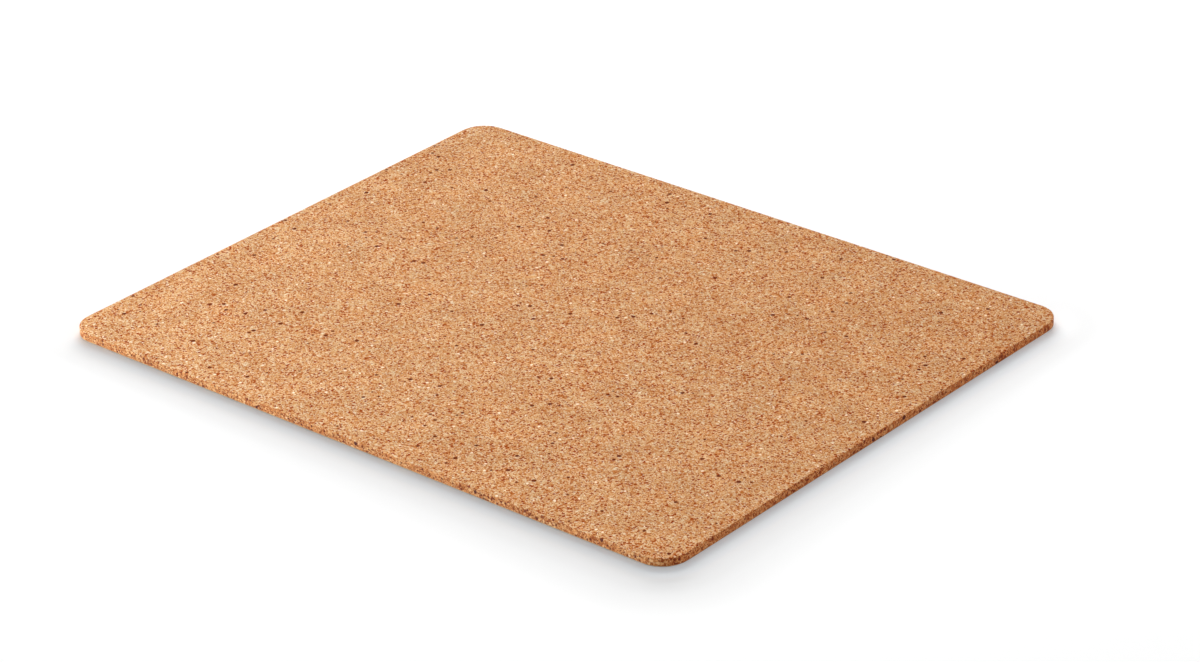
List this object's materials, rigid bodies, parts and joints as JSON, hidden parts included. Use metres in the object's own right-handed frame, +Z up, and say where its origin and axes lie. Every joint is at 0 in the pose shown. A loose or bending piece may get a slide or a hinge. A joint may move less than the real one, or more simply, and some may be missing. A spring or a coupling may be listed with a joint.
{
  "type": "mouse pad",
  "caption": "Flat rectangular cork mouse pad with rounded corners: agglomerated cork bonded to a thin grip backing of natural rubber, cut flush, with the backing resting on the desk.",
  "frame": {"origin": "on the desk, under the middle of the pad", "axes": "+X along the long side, +Y along the short side, +Z up through the thickness"},
  "size_m": [0.25, 0.2, 0.0029],
  "materials": {
    "cork": "agglomerated cork granules, sanded flat, matt",
    "adhesive": "clear amber transfer film, of which only its cut edge shows",
    "grip_rubber": "undyed natural rubber, matt, embossed with fine grip studs"
  },
  "bodies": {
    "root": {"cork_sheet": "cork", "adhesive_film": "adhesive", "grip_backing": "grip_rubber"}
  },
  "joints": []
}
